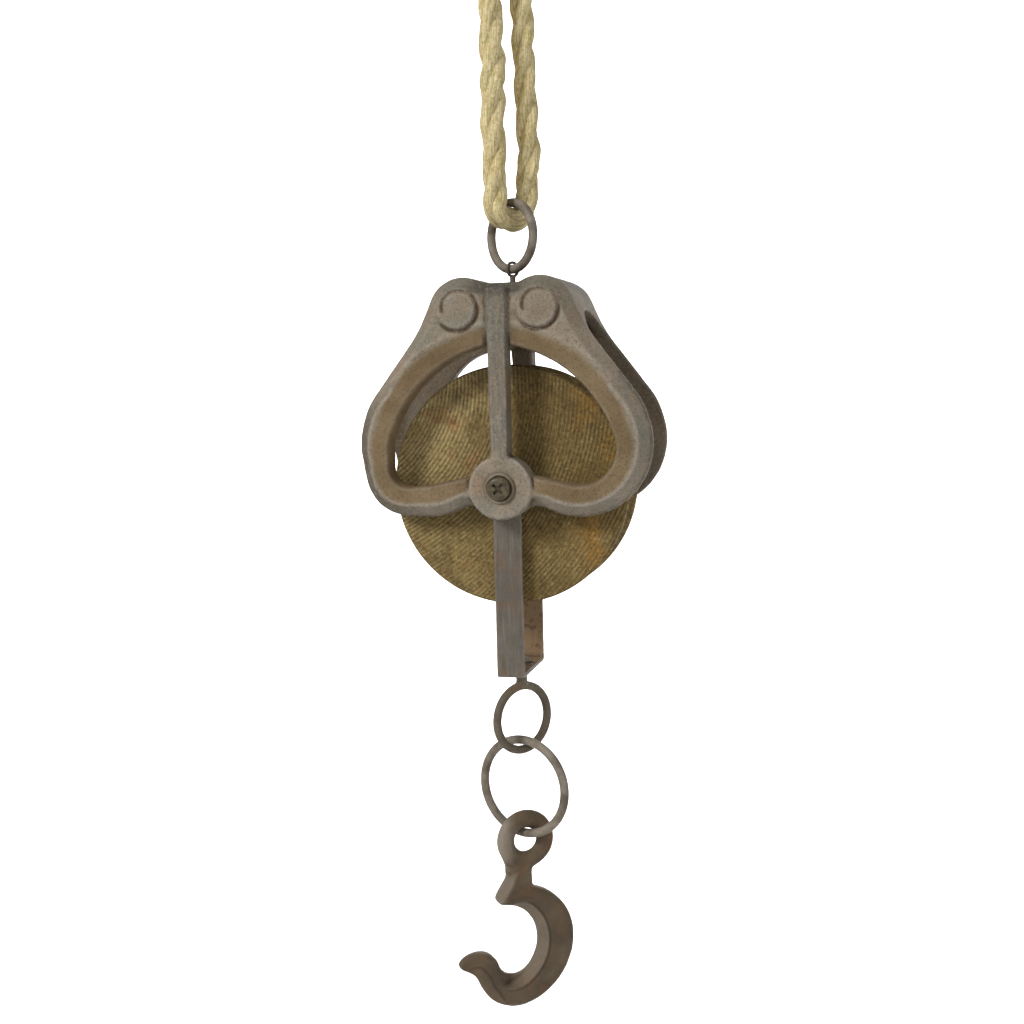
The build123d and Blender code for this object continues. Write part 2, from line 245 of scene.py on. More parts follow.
def relaxed(values, pairs, steps, strength=0.5):
    """Values at points, each drawn towards the mean of its neighbours."""
    count = np.bincount(pairs.ravel(), minlength=len(values)).clip(1)
    for _ in range(steps):
        fresh = np.empty_like(values)
        for axis in range(values.shape[1]):
            column = values[:, axis]
            total = np.bincount(pairs[:, 0], weights=column[pairs[:, 1]], minlength=len(values))
            total += np.bincount(pairs[:, 1], weights=column[pairs[:, 0]], minlength=len(values))
            fresh[:, axis] = column + strength * (total / count - column)
        values = fresh
    return values


def add_float(mesh, name, values):
    mesh.attributes.new(name, "FLOAT", "POINT").data.foreach_set("value", values.astype(np.float32))


def even_mesh(name, sources, voxel):
    """One closed mesh of even faces over CAD nodes, without the walls where two of them meet."""
    joined = bmesh.new()
    for source in sources:
        joined.from_mesh(nodes[source].data)
    bmesh.ops.remove_doubles(joined, verts=joined.verts, dist=0.005 * mm)
    if len(sources) > 1:
        seam = [f for f in joined.faces if all(abs(v.co.y) < 0.001 * mm for v in f.verts)]
        bmesh.ops.delete(joined, geom=seam, context="FACES")
    mesh = bpy.data.meshes.new(name)
    joined.to_mesh(mesh)
    joined.free()
    return evened(mesh, voxel)


def evened(mesh, voxel):
    """A closed mesh of even faces over the outside of a mesh."""
    rough = linked("rough", mesh)
    remesh = rough.modifiers.new("even", "REMESH")
    remesh.mode = "VOXEL"
    remesh.voxel_size = voxel
    seen = rough.evaluated_get(bpy.context.evaluated_depsgraph_get())
    even = bpy.data.meshes.new_from_object(seen)
    bpy.data.objects.remove(rough)
    return even


def lumps(places, size, seed):
    """Smooth random heights from -1 to 1 at points, which vary over about the given size."""
    cell = places / size
    base = np.floor(cell).astype(np.int64)
    part = cell - base
    part = part * part * (3 - 2 * part)
    total = np.zeros(len(places))
    scramble = np.array([73856093, 19349663, 83492791])
    for corner_step in itertools.product((0, 1), repeat=3):
        spot = base + corner_step
        mixed = np.bitwise_xor.reduce(spot * scramble, axis=1) ^ seed * 40503
        mixed = (mixed ^ (mixed >> 13)) * 1274126177
        value = ((mixed >> 16) & 65535) / 32767.5 - 1
        total += value * np.prod(np.where(corner_step, part, 1 - part), axis=1)
    return total


def roughen(mesh, depth, size, seed):
    """Sinks the points of a casting by uneven amounts up to a depth."""
    places = points_of(mesh)
    uneven = 0.65 * lumps(places, size, seed) + 0.35 * lumps(places, size / 2.3, seed + 1)
    set_points(mesh, places - normals_of(mesh) * (depth * (1 + uneven) / 2)[:, None])


def mark_wear_and_shade(mesh, steps):
    """Stores how far each point stands proud of its surroundings, in millimetres, for wear on raised points
    and painted shade in hollows.
    """
    places = points_of(mesh)
    flat = relaxed(places, edges_of(mesh), steps)
    proud = ((places - flat) * normals_of(mesh)).sum(axis=1) / mm
    add_float(mesh, "proud", proud)


def finish_piece(name, mesh, body, slot, look, *replaced):
    mesh.name = name
    mesh.polygons.foreach_set("use_smooth", np.ones(len(mesh.polygons), dtype=bool))
    mesh.materials.clear()
    mesh.materials.append(look)
    piece = linked(name, mesh)
    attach(piece, body)
    if replaced:
        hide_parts(*replaced)
    return piece


# Rope: down from the top of the loop, round under the ring and up again, as distances across and heights
rope_route = (
    (0.0, 5.25),
    (-3.33, 5.25),
    (-8.05, 0.53),
    (-8.05, -6.13),
    (-8.5, -22.0),
    (-7.5, -38.0),
    (-8.7, -56.0),
    (-7.9, -74.0),
    (-8.3, -89.97),
    (-8.5, -97.4),
    (-4.2, -101.35),
    (3.33, -101.35),
    (8.05, -96.63),
    (7.6, -89.0),
    (10.2, -76.0),
    (9.2, -58.0),
    (8.6, -40.0),
    (7.8, -22.0),
    (8.05, -6.13),
    (8.05, 0.53),
    (3.33, 5.25),
    (0.0, 5.25),
)


def route_points():
    across = (math.cos(rope_heading), math.sin(rope_heading))
    return [(u * across[0] * mm, u * across[1] * mm, z * mm) for u, z in rope_route]


def smooth_line(control, resolution):
    """Points along the NURBS spline of some control points."""
    curve = bpy.data.curves.new("route", "CURVE")
    curve.dimensions = "3D"
    curve.resolution_u = resolution
    spline = curve.splines.new("NURBS")
    spline.points.add(len(control) - 1)
    for point, place in zip(spline.points, control):
        point.co = (*place, 1.0)
    spline.order_u = 3
    spline.use_endpoint_u = True
    drawn = linked("route", curve)
    seen = drawn.evaluated_get(bpy.context.evaluated_depsgraph_get())
    mesh = bpy.data.meshes.new_from_object(seen)
    line = points_of(mesh)
    bpy.data.objects.remove(drawn)
    bpy.data.meshes.remove(mesh)
    return line


def even_steps(line, step):
    """The same line with points at even distances."""
    run = np.concatenate([[0.0], np.cumsum(np.linalg.norm(np.diff(line, axis=0), axis=1))])
    wanted = np.linspace(0.0, run[-1], int(run[-1] / step) + 1)
    return np.stack([np.interp(wanted, run, line[:, axis]) for axis in range(3)], axis=1), wanted


def unit_steps(loop):
    """Directions along a closed line at its points."""
    steps = np.roll(loop, -1, axis=0) - np.roll(loop, 1, axis=0)
    return steps / np.linalg.norm(steps, axis=1)[:, None]


def strand_uvs(share, yarn_angle, around, length):
    """Texture coordinates of the strand's faces: along it in metres, and across its yarns."""
    low = yarn_angle / full_turn
    high = low + 1 / around
    drift = yarn_turns / len(share)
    across = np.stack([low, high, high + drift, low + drift], axis=-1)
    start = (share * strands * length)[:, None] + 0 * low
    stop = start + strands * length / len(share)
    return np.stack([np.stack([start, start, stop, stop], axis=-1), across], axis=-1)


def rope_mesh(name, line, run, around=54):
    """One strand that goes three times round the loop beside itself, with yarns that lie along the rope."""
    loop = line[:-1]
    count = strands * len(loop)
    spot = np.arange(count) % len(loop)
    share = np.arange(count) / count

    # The strand's middle, which winds about the loop, with uneven swells
    side = np.array([math.sin(rope_heading), -math.cos(rope_heading), 0.0])
    second = np.cross(unit_steps(loop), side)[spot]
    phase = full_turn * strands * rope_turns * share
    out = np.cos(phase)[:, None] * side + np.sin(phase)[:, None] * second
    generator = np.random.default_rng(7)
    swell = np.zeros(count)
    for waves in range(9, 80):
        swell += generator.uniform(-0.7, 0.7) * np.sin(full_turn * (waves * share + generator.uniform()))
    centre = loop[spot] + (strand_offset * (1 + 0.02 * swell))[:, None] * out
    beside = np.cross(unit_steps(centre), out)

    # Its section, with the ridges of the yarns
    angles = np.linspace(0.0, full_turn, around, endpoint=False)
    yarn_angle = angles[None, :] + (full_turn * yarn_turns * share)[:, None]
    ridge = np.abs(np.sin(yarns / 2 * yarn_angle)) - 0.6
    flutter = np.sin(full_turn * 34 * share)[:, None]
    loose = np.sin(5 * yarn_angle + (full_turn * 21 * share)[:, None]) * flutter
    fuller = 0.07 * np.sin(full_turn * spot / len(loop))
    radius = strand_r * (1 + fuller[:, None] + 0.012 * swell[:, None] + 0.09 * ridge + 0.02 * loose)
    ring = np.cos(angles)[None, :, None] * out[:, None, :]
    ring = ring + np.sin(angles)[None, :, None] * beside[:, None, :]
    places = centre[:, None, :] + radius[:, :, None] * ring

    columns = np.arange(around)
    following = (columns + 1) % around
    rows = np.arange(count)[:, None] * around
    rows_on = np.roll(rows, -1, axis=0)
    quads = np.stack([rows + columns, rows + following, rows_on + following, rows_on + columns], axis=-1)
    mesh = bpy.data.meshes.new(name)
    mesh.from_pydata(places.reshape(-1, 3).tolist(), [], quads.reshape(-1, 4).tolist())
    uvs = strand_uvs(share, yarn_angle, around, run[-1])
    mesh.uv_layers.new(name="strand").data.foreach_set("uv", uvs.astype(np.float32).ravel())
    return mesh


def rope_look():
    look = Look("rope_fibre", 0.92, specular=0.15)
    uv = look.node("UVMap", uv_map="strand").outputs["UV"]
    fibres = look.streaks(uv, (110.0, 34.0, 1.0), detail=6.0, roughness=0.7, distortion=0.3)
    bundles = look.streaks(uv, (36.0, 12.0, 1.0), detail=3.0)
    threads = look.streaks(uv, (150.0, 48.0, 1.0), detail=3.0, roughness=0.6, distortion=0.6)
    patches = look.noise(look.place(), 110.0, detail=3.0)
    olive = look.noise(look.place(), 260.0, detail=3.0)
    mottle = look.noise(look.place(), 760.0, detail=4.0, roughness=0.65)
    colour = look.mix(srgb(144, 124, 72), srgb(232, 216, 168), look.spread(fibres, 0.28, 0.6))
    colour = look.over(colour, (168, 148, 86), look.spread(bundles, 0.55, 0.75), 0.55)
    colour = look.over(colour, (236, 224, 184), look.spread(bundles, 0.45, 0.25), 0.5)
    colour = look.over(colour, (196, 168, 108), look.spread(patches, 0.5, 0.72), 0.45)
    colour = look.over(colour, (158, 150, 92), look.spread(olive, 0.52, 0.68), 0.5)
    colour = look.over(colour, (112, 90, 48), look.spread(threads, 0.58, 0.7), 0.6)
    colour = look.over(colour, (120, 104, 58), look.spread(mottle, 0.52, 0.68), 0.5)
    colour = look.over(colour, (240, 230, 196), look.spread(mottle, 0.45, 0.3), 0.4)
    look.feed("Base Color", colour)
    thick = look.relief(fibres, 0.4 * mm, 0.9)
    look.feed("Normal", look.relief(threads, 0.3 * mm, 0.8, thick))
    return look.material


def build_rope():
    line, run = even_steps(smooth_line(route_points(), 40), rope_step)
    rope = finish_piece("rope", rope_mesh("rope", line, run), "rope", "rope_fibre", rope_look(), "rope_sling")


# Casting: both cheeks and the crown, as one soft-edged casting
def toward_circle(x, z, circle):
    return np.hypot(x - circle[0], z - circle[1])


def direction(x, z, centre):
    """Directions of points from a centre, in degrees."""
    return np.degrees(np.arctan2(z - centre[1], x - centre[0]))


def hollow_centre(low, high, radius):
    """Centre of an arc that touches two circles from outside, on the right of the way from low to high."""
    apart = np.subtract(high[:2], low[:2])
    length = np.hypot(*apart)
    along = apart / length
    reach = ((radius + low[2]) ** 2 - (radius + high[2]) ** 2 + length**2) / (2 * length)
    off = math.sqrt((radius + low[2]) ** 2 - reach**2)
    return np.array(low[:2]) + along * reach + np.array([along[1], -along[0]]) * off


def between(x, z, centre, first, last):
    """Whether points lie in the sector at centre from the direction of first round to that of last."""

    def turn(px, pz):
        return np.arctan2(pz - centre[1], px - centre[0])

    start = turn(*first)
    span = (turn(*last) - start + math.pi) % (2 * math.pi) - math.pi
    here = (turn(x, z) - start + math.pi) % (2 * math.pi) - math.pi
    return (here * np.sign(span) >= 0) & (np.abs(here) <= abs(span))


def rim_distance(x, z):
    """Distance of points of a cheek from its outer outline, for x on the right."""
    distance = np.max([circle[2] - toward_circle(x, z, circle) for circle in (lobe, shoulder, hub)], axis=0)
    for low, high, radius in ((lobe, shoulder, flank_r), (hub, lobe, hub_blend)):
        centre = hollow_centre(low, high, radius)
        beside = between(x, z, centre, low[:2], high[:2])
        distance = np.where(beside, toward_circle(x, z, centre) - radius, distance)
    return np.where(x < 9.0, np.maximum(distance, np.where(z > 60, valley_z - z, -9.0)), distance)


def opening_distance(x, z):
    """Distance of points of a cheek from the heart-shaped opening, for x on the right."""
    centre_x = corner[0] - (arch_r - corner[2]) * math.cos(arch_lean)
    centre_z = corner[1] - (arch_r - corner[2]) * math.sin(arch_lean)
    arch = np.hypot(x - centre_x, z - centre_z) - arch_r
    turn = np.arctan2(z - corner[1], x - corner[0])
    side = toward_circle(x, z, corner) - corner[2]
    foot_x = corner[0] - corner[2] * math.sin(sill_rise)
    foot_z = corner[1] - corner[2] * math.cos(sill_rise)
    sill = (foot_x - x) * math.sin(sill_rise) + (foot_z - z) * math.cos(sill_rise)
    in_arch = np.arctan2(z - centre_z, x - centre_x) > arch_lean
    in_corner = (turn <= arch_lean) & (turn >= -math.pi / 2 - sill_rise)
    return np.where(in_arch, arch, np.where(in_corner, side, sill))


def bell(values, centre, half_width):
    """A smooth bump of height 1 about a centre."""
    t = np.clip(np.abs(values - centre) / half_width, 0, 1)
    return (1 - t * t) ** 2


def ease(values, low, high):
    """0 below low and 1 above high, with a smooth rise between them."""
    t = np.clip((values - low) / (high - low), 0, 1)
    return t * t * (3 - 2 * t)


def within(turn, middle, half, fade):
    """1 where directions lie within half a width of a middle one, falling to 0 over a fade past that."""
    return 1 - ease(np.abs((turn - middle + 180) % 360 - 180), half, half + fade)


def scroll_height(across, up):
    """Heights of the band over a scroll, and of its inner and outer grooves at opposite sides."""
    far = np.hypot(across, up)
    turn = direction(across, up, (0.0, 0.0))
    band = 0.9 * within(turn, 95, 70, 30) * (1 - ease(far, 10.6, 11.8)) * ease(far, 7.6, 8.4)
    wound = 8.4 - 2.6 * np.clip((turn % 360 - 30) / 170, 0, 1) ** 1.3
    inner = bell(far, wound, 1.3) * within(turn, 125, 50, 35)
    outer = bell(far, scroll[2] + 0.8, 1.3) * within(turn, -40, 75, 40)
    return band, np.maximum(inner, outer)


def shape_fronts(mesh):
    """Gives each front its cove, crests, panels and scrolls, and stores masks for the colours."""
    places = points_of(mesh)
    normals = normals_of(mesh)
    x = np.abs(places[:, 0]) / mm
    z = (places[:, 2] - axle_z) / mm
    deep = np.abs(places[:, 1]) / mm
    rim = rim_distance(x, z)
    lip = opening_distance(x, z)
    outward = normals[:, 1] * np.sign(places[:, 1])

    # Heights of the face: the cove and the sunk panel, with crests beside them
    was = np.where(lip < cove_in, -cove_deep * (1 - lip / cove_in), 0.0)
    cove = -1.1 * ease(wide_cove - lip, 0.0, 1.3) - 2.5 * ease(wide_cove - lip, 0.4, 8.6)
    panel = -1.5 * ease(lip, wide_cove, 11.2)
    crest = np.maximum(bell(rim, bevel_in + 0.4, 1.9), bell(lip, cove_crest, 1.2))
    wanted = np.where(lip < wide_cove, cove, panel) * (1 - crest)
    faces_out = ease(outward, 0.45, 0.8) * (deep > face_from)

    # Hub, bar and bevel stay as they are, and the scrolls get a dome and grooves
    from_scroll = toward_circle(x, z, scroll)
    in_scroll = 1 - ease(from_scroll, scroll[2] + 0.1, scroll[2] + 0.9)
    clear = ease(np.hypot(x, z), hub[2] + 0.2, hub[2] + 1.6) * ease(x, bar_half + 0.2, bar_half + 1.4)
    on_top = clear * faces_out * ease(rim, 1.0, 3.0)
    clear = clear * (1 - in_scroll) * ease(rim, bevel_in - 0.6, bevel_in + 0.6) * (deep < plate_front + 0.3)
    across = (places[:, 0] / mm - np.sign(places[:, 0]) * scroll[0]) * -np.sign(places[:, 1])
    band, groove = scroll_height(across, z - scroll[1])
    shift = (np.maximum(wanted, band) - was) * clear * faces_out
    filled = (from_scroll < 7.4) & (deep > plate_front + 0.2)
    dome = plate_front + scroll_up + 0.4 * (1 - ease(from_scroll, 0.0, 6.5))
    shift = np.where(filled, dome - deep, shift) - 1.15 * groove * on_top
    places[:, 1] += np.sign(places[:, 1]) * shift * mm
    set_points(mesh, places)

    # Masks for the colours, some of them for painted shade
    front = (outward > 0.2) & (deep > face_from)
    in_cove = ease(cove_crest - lip, 0.0, 4.0) * ease(rim, bevel_in + 0.2, bevel_in + 2.0) * clear * front
    wall = (lip < 0.8) & (deep > 21.2) & (places[:, 1] < 0)
    wall = wall & (np.hypot(x, z) > hub[2] + 0.6) & (x > bar_half + 1)
    crest = np.maximum(bell(rim, bevel_in + 0.3, 1.1), bell(lip, cove_crest + 0.1, 0.9))
    left_lobe = ease(-places[:, 0] / mm, 30.0, 52.0) * (1 - ease(z, 20.0, 45.0))
    # painted shade on the faces inside the block, between the cheeks, and on the sides of the bar
    inner_shade_and_rust = np.maximum(ease(-outward, 0.2, 0.6), (places[:, 1] > 0) & (lip < 0.8) & (deep < 30))
    bar_side = (np.abs(x - bar_half) < 0.9) & (np.abs(normals[:, 0]) > 0.45) & (z > 10)
    masks = {
        "cove": np.maximum(in_cove, wall),
        "bevel": ease(bevel_in + 1.0 - rim, 0.0, 1.2) * (outward > 0.1),
        "crest": crest * clear * front,
        # painted shade in the grooves round the scrolls
        "line": groove * on_top,
        "roof": ease(normals[:, 2], 0.3, 0.8) * (z > 66),
        "bar": (1 - ease(x, bar_half - 0.2, bar_half + 0.8)) * ease(z, 11.0, 15.0) * front,
        "edge": (1 - ease(rim, 0.3, 1.7)) * ease(np.abs(outward), 0.02, 0.3) * (outward > 0),
        "rust": left_lobe * ease(bevel_in + 1.0 - rim, 0.0, 2.0),
        # painted shade in the valley between the shoulders
        "valley_shade": (1 - ease(x, 5.0, 17.0)) * ease(z, 77.0, 85.0),
        # painted shade inside the block and on the sides of the bar
        "inner_shade_and_rust": np.maximum(inner_shade_and_rust, 0.8 * bar_side),
    }
    for name, values in masks.items():
        add_float(mesh, name, values)


def swell_outline(mesh):
    """Moves the casting off its symmetry: the flanks, the left lobe in front, and the bar and arch behind."""
    places = points_of(mesh)
    across = places[:, 0] / mm
    x = np.abs(across)
    z = (places[:, 2] - axle_z) / mm
    lip = opening_distance(x, z)
    rear = places[:, 1] > 0
    flank = flank_swell * bell(z, 48.0, 22.0) * ease(lip, 2.0, 12.0) * ease(x, 18.0, 30.0)
    left_lobe = (-lobe[0], lobe[1])
    far = toward_circle(across, z, left_lobe).clip(1)
    off_turn = (direction(across, z, left_lobe) - lobe_swell_turn + 180) % 360 - 180
    lower = lobe_swell * bell(off_turn, 0.0, 38.0) * ease(far, 8.0, 16.0)
    lower = lower * (across < 0) * (places[:, 1] < 0) / far
    lean = (bar_lean + bar_widening * ease(-across, -2.0, 3.0)) * np.clip((z - 14.0) / 46.0, 0, 1)
    lean = lean * (1 - ease(z, 62.0, 86.0)) * (1 - ease(x, 6.0, 15.0)) * rear
    opened = arch_opening * bell(direction(across, z, (0.0, 20.0)), arch_opening_turn, 34.0)
    opened = opened * (1 - ease(lip, 0.0, 10.0)) * ease(x, 7.0, 15.0) * rear
    outward = 0.87 * flank * np.sign(across) + lower * (across + lobe[0])
    places[:, 0] += (outward - lean - 0.62 * opened) * mm
    places[:, 2] += (0.5 * flank + lower * (z - lobe[1]) + 0.78 * opened) * mm
    set_points(mesh, places)


def casting_look():
    look = Look("cast_iron_brown", 0.74, specular=0.3)
    place = look.place()
    grain = look.noise(place, 1050.0, detail=6.0, roughness=0.7)
    pits = look.noise(place, 420.0, detail=4.0, roughness=0.6)
    broad = look.noise(place, 45.0, detail=4.0, roughness=0.55)
    tint = look.noise(place, 75.0, detail=4.0)
    streaks = look.streaks(place, (700.0, 700.0, 110.0), detail=4.0)
    proud = look.sum(look.attribute("proud"), look.times(look.sum(pits, -0.5), 0.16))
    colour = look.mix(srgb(124, 110, 91), srgb(146, 134, 117), look.spread(broad, 0.34, 0.66))
    colour = look.over(colour, (118, 117, 104), look.spread(tint, 0.5, 0.66), 0.6)
    colour = look.over(colour, (140, 112, 86), look.spread(tint, 0.46, 0.3), 0.5)
    grey = look.times(look.attribute("bevel"), look.spread(streaks, 0.42, 0.66), 0.7)
    colour = look.over(colour, (124, 120, 110), grey)
    colour = look.over(colour, (110, 107, 95), look.attribute("roof"), 0.75)
    brown = look.mix(srgb(98, 78, 47), srgb(124, 104, 74), look.spread(broad, 0.35, 0.65))
    colour = look.mix(colour, brown, look.times(look.spread(look.attribute("cove"), 0.05, 0.9), 0.9))
    # painted shade in the hollows, where the surface sinks below its surroundings
    colour = look.over(colour, (70, 54, 34), look.spread(proud, -0.04, -0.3), 0.8)
    worn = look.sum(1.0, look.times(look.attribute("cove"), -0.8))
    colour = look.over(colour, (154, 147, 136), look.spread(proud, 0.14, 0.5), worn, 0.7)
    ridge = look.times(look.attribute("crest"), look.spread(streaks, 0.36, 0.6, 0.1, 0.6))
    colour = look.over(colour, (162, 152, 136), ridge)
    # painted shade in the grooves round the scrolls
    line = look.times(look.attribute("line"), look.spread(pits, 0.3, 0.6, 0.7, 0.35))
    colour = look.over(colour, (72, 52, 32), line)
    # painted shade inside the block and on the sides of the bar
    colour = look.over(colour, (74, 62, 46), look.attribute("inner_shade_and_rust"), 0.55)
    bar = look.times(look.attribute("bar"), look.spread(streaks, 0.36, 0.64, 0.15, 0.9))
    colour = look.over(colour, (102, 99, 90), bar)
    rust = look.times(look.attribute("rust"), look.spread(pits, 0.36, 0.6, 0.6, 0.95))
    colour = look.over(colour, (78, 68, 48), rust)
    edge = look.times(look.attribute("edge"), look.spread(pits, 0.36, 0.6, 0.25, 0.8))
    colour = look.over(colour, (76, 68, 56), edge)
    # painted shade in the valley between the shoulders
    valley_shade = look.times(look.attribute("valley_shade"), look.spread(pits, 0.36, 0.56, 0.55, 0.95))
    colour = look.over(colour, (66, 63, 54), valley_shade)
    colour = look.over(colour, (66, 55, 42), look.spread(grain, 0.52, 0.68), 0.62)
    colour = look.over(colour, (166, 156, 142), look.spread(grain, 0.45, 0.3), worn, 0.45)
    look.feed("Base Color", colour)
    bumps = look.relief(pits, 0.5 * mm, 0.5)
    look.feed("Normal", look.relief(grain, 0.25 * mm, 0.7, bumps))
    return look.material


def build_casting():
    mesh = even_mesh("casting", ("front_cheek", "rear_cheek"), casting_voxel)
    set_points(mesh, relaxed(points_of(mesh), edges_of(mesh), 2))
    shape_fronts(mesh)
    swell_outline(mesh)
    set_points(mesh, relaxed(points_of(mesh), edges_of(mesh), 2))
    roughen(mesh, 0.22 * mm, 4.0 * mm, 3)
    mark_wear_and_shade(mesh, 16)
    finish_piece("casting", mesh, "block", "casting_iron", casting_look(), "front_cheek", "rear_cheek")


# Wheel: sawn wood, its saw marks rings about a point up to the left of the axle
def wheel_look():
    look = Look("sawn_wood", 0.8, specular=0.25)
    place = look.place()
    parts = look.node("SeparateXYZ", {"Vector": place}).outputs
    x = parts["X"]
    z = parts["Z"]
    wander = look.noise(place, 26.0, detail=2.0)

    # Saw marks on the faces, and scratches across them
    from_x = look.sum(x, -saw_centre[0])
    from_z = look.sum(z, -(axle_z + saw_centre[1]))
    far = look.maths("SQRT", look.sum(look.times(from_x, from_x), look.times(from_z, from_z)))
    reach = look.sum(far, look.times(wander, 0.0035))
    wave = look.maths("SINE", look.times(reach, full_turn / saw_step))
    strength = look.spread(look.noise(place, 70.0, detail=3.0), 0.36, 0.6, 0.2, 1.0)
    turned = look.node("SeparateXYZ", {"Vector": look.node("TexCoord").outputs["Normal"]}).outputs["Y"]
    on_face = look.spread(look.times(turned, turned), 0.3, 0.7)
    lines = look.times(look.spread(wave, -0.5, 0.8), strength, on_face)
    slanted = look.sum(look.times(x, 0.62), look.times(z, 0.78), look.times(wander, 0.006))
    cross = look.maths("SINE", look.times(slanted, full_turn / scratch_step))
    scratched = look.spread(look.noise(place, 55.0, detail=2.0), 0.5, 0.62)
    scratches = look.times(look.spread(cross, 0.45, 0.95), scratched)

    # Where the wood is painted lighter on the left and upper left, as if lit from there, and where it is
    # stained or shows its end grain
    off_face = look.sum(1.0, look.times(on_face, -1.0))
    end_grain = look.streaks(place, (420.0, 60.0, 420.0), detail=4.0, roughness=0.6)
    broad = look.noise(place, 30.0, detail=4.0, roughness=0.6)
    fine = look.noise(place, 800.0, detail=5.0, roughness=0.7)
    stains = look.noise(place, 48.0, detail=5.0, roughness=0.65)
    gold = look.spread(look.noise(place, 75.0, detail=5.0, roughness=0.65), 0.47, 0.62)
    red = look.spread(look.noise(place, 90.0, detail=3.0), 0.58, 0.72)
    # painted light: masks for the lighter left and upper left of the wheel
    above = look.spread(z, axle_z - 0.012, axle_z + 0.008, 0.35, 1.0)
    left = look.times(look.spread(x, 0.004, -0.022), above)
    up_left = look.sum(look.times(x, -0.8), look.times(z, 0.6))
    lit_upper_left = look.spread(up_left, axle_z * 0.6 + 0.022, axle_z * 0.6 + 0.042)

    colour = look.mix(srgb(92, 74, 40), srgb(122, 102, 58), look.spread(broad, 0.34, 0.66))
    # painted light on the left and upper left of the wheel; the saw marks are real, and drawn brighter there
    # as painted light
    colour = look.over(colour, (146, 126, 80), left, 0.6)
    colour = look.over(colour, (164, 142, 92), lit_upper_left, 0.5)
    bright = look.mix(srgb(150, 130, 84), srgb(188, 168, 116), left)
    bright = look.over(bright, (226, 206, 156), lit_upper_left)
    colour = look.mix(colour, bright, look.times(lines, look.spread(lit_upper_left, 0.0, 1.0, 0.54, 0.62)))
    colour = look.over(colour, (176, 152, 102), scratches, look.spread(fine, 0.4, 0.6), 0.3)
    colour = look.over(colour, (160, 112, 34), gold, look.spread(x, 0.024, 0.044), 0.65)
    colour = look.over(colour, (150, 104, 68), red, left, 0.7)
    colour = look.over(colour, (74, 60, 30), look.spread(stains, 0.52, 0.68), 0.6)
    colour = look.over(colour, (66, 52, 26), look.spread(end_grain, 0.48, 0.66), off_face, 0.7)
    colour = look.over(colour, (160, 136, 86), look.spread(end_grain, 0.44, 0.3), off_face, 0.5)
    colour = look.over(colour, (56, 43, 20), look.spread(fine, 0.48, 0.68), 0.7)
    colour = look.over(colour, (196, 176, 124), look.spread(fine, 0.42, 0.28), 0.5)
    look.feed("Base Color", colour)
    ridges = look.relief(lines, 0.4 * mm, 0.6)
    look.feed("Normal", look.relief(fine, 0.22 * mm, 0.6, ridges))
    return look.material


# Irons: plain ones for wire and fittings, and worn ones for the strap, the hook and the swivel eye, with
# painted shade in their hollows and, on the hook, painted highlights and shadow lines
def iron_look(name, dark, light, rough=0.6, scale=1.0):
    look = Look(name, rough, specular=0.4)
    place = look.place()
    broad = look.noise(place, 120.0 * scale, detail=4.0)
    fine = look.noise(place, 1300.0, detail=4.0, roughness=0.65)
    darker = [c * 0.62 for c in dark]
    colour = look.mix(srgb(*dark), srgb(*light), look.spread(broad, 0.36, 0.64))
    colour = look.over(colour, darker, look.spread(fine, 0.54, 0.75), 0.55)
    look.feed("Base Color", colour)
    look.feed("Normal", look.relief(fine, 0.12 * mm, 0.6))
    return look.material


def paint(look, *names):
    for name in names:
        mesh = nodes[name].data
        mesh.materials.clear()
        mesh.materials.append(look)


def build_soft_iron(name, node, body, slot, look, voxel, steps):
    mesh = even_mesh(name, (node,), voxel)
    set_points(mesh, relaxed(points_of(mesh), edges_of(mesh), steps))
    mark_wear_and_shade(mesh, 14)
    finish_piece(name, mesh, body, slot, look, node)


def worn_and_shaded_iron_look(name, shade_and_streak_colour, base, other, wear_and_highlight_colour, inside_colour=None, streaked=0.0):
    look = Look(name, 0.68, specular=0.35)
    place = look.place()
    grain = look.noise(place, 1500.0, detail=5.0, roughness=0.65)
    pits = look.noise(place, 420.0, detail=4.0, roughness=0.6)
    broad = look.noise(place, 70.0, detail=4.0)
    rusty = look.noise(place, 130.0, detail=4.0)
    streaks = look.streaks(place, (900.0, 900.0, 80.0), detail=4.0)
    proud = look.sum(look.attribute("proud"), look.times(look.sum(pits, -0.5), 0.25))
    darker = [c * 0.6 for c in base]
    colour = look.mix(srgb(*base), srgb(*other), look.spread(broad, 0.36, 0.64))
    colour = look.over(colour, (112, 80, 52), look.spread(rusty, 0.52, 0.68), 0.42)
    colour = look.over(colour, (96, 92, 72), look.spread(rusty, 0.44, 0.28), 0.45)
    colour = look.over(colour, shade_and_streak_colour, look.spread(streaks, 0.54, 0.7), streaked)
    colour = look.over(colour, wear_and_highlight_colour, look.spread(streaks, 0.44, 0.3), 0.75 * streaked)
    if inside_colour:
        rust = look.mix(srgb(*inside_colour), srgb(84, 58, 34), look.spread(pits, 0.54, 0.7))
        colour = look.mix(colour, rust, look.attribute("inner_shade_and_rust"))
    # painted highlights on the hook's facets and on the left of its eye
    colour = look.over(colour, wear_and_highlight_colour, look.attribute("facet"), 0.85)
    # painted shadow lines along the hook's facets, and painted shade in the hollows
    colour = look.over(colour, shade_and_streak_colour, look.attribute("line"), 0.7)
    colour = look.over(colour, shade_and_streak_colour, look.spread(proud, -0.03, -0.3))
    colour = look.over(colour, wear_and_highlight_colour, look.spread(proud, 0.12, 0.42), 0.7)
    colour = look.over(colour, darker, look.spread(grain, 0.55, 0.72), 0.5)
    look.feed("Base Color", colour)
    bumps = look.relief(pits, 0.45 * mm, 0.5)
    look.feed("Normal", look.relief(grain, 0.18 * mm, 0.6, bumps))
    return look.material


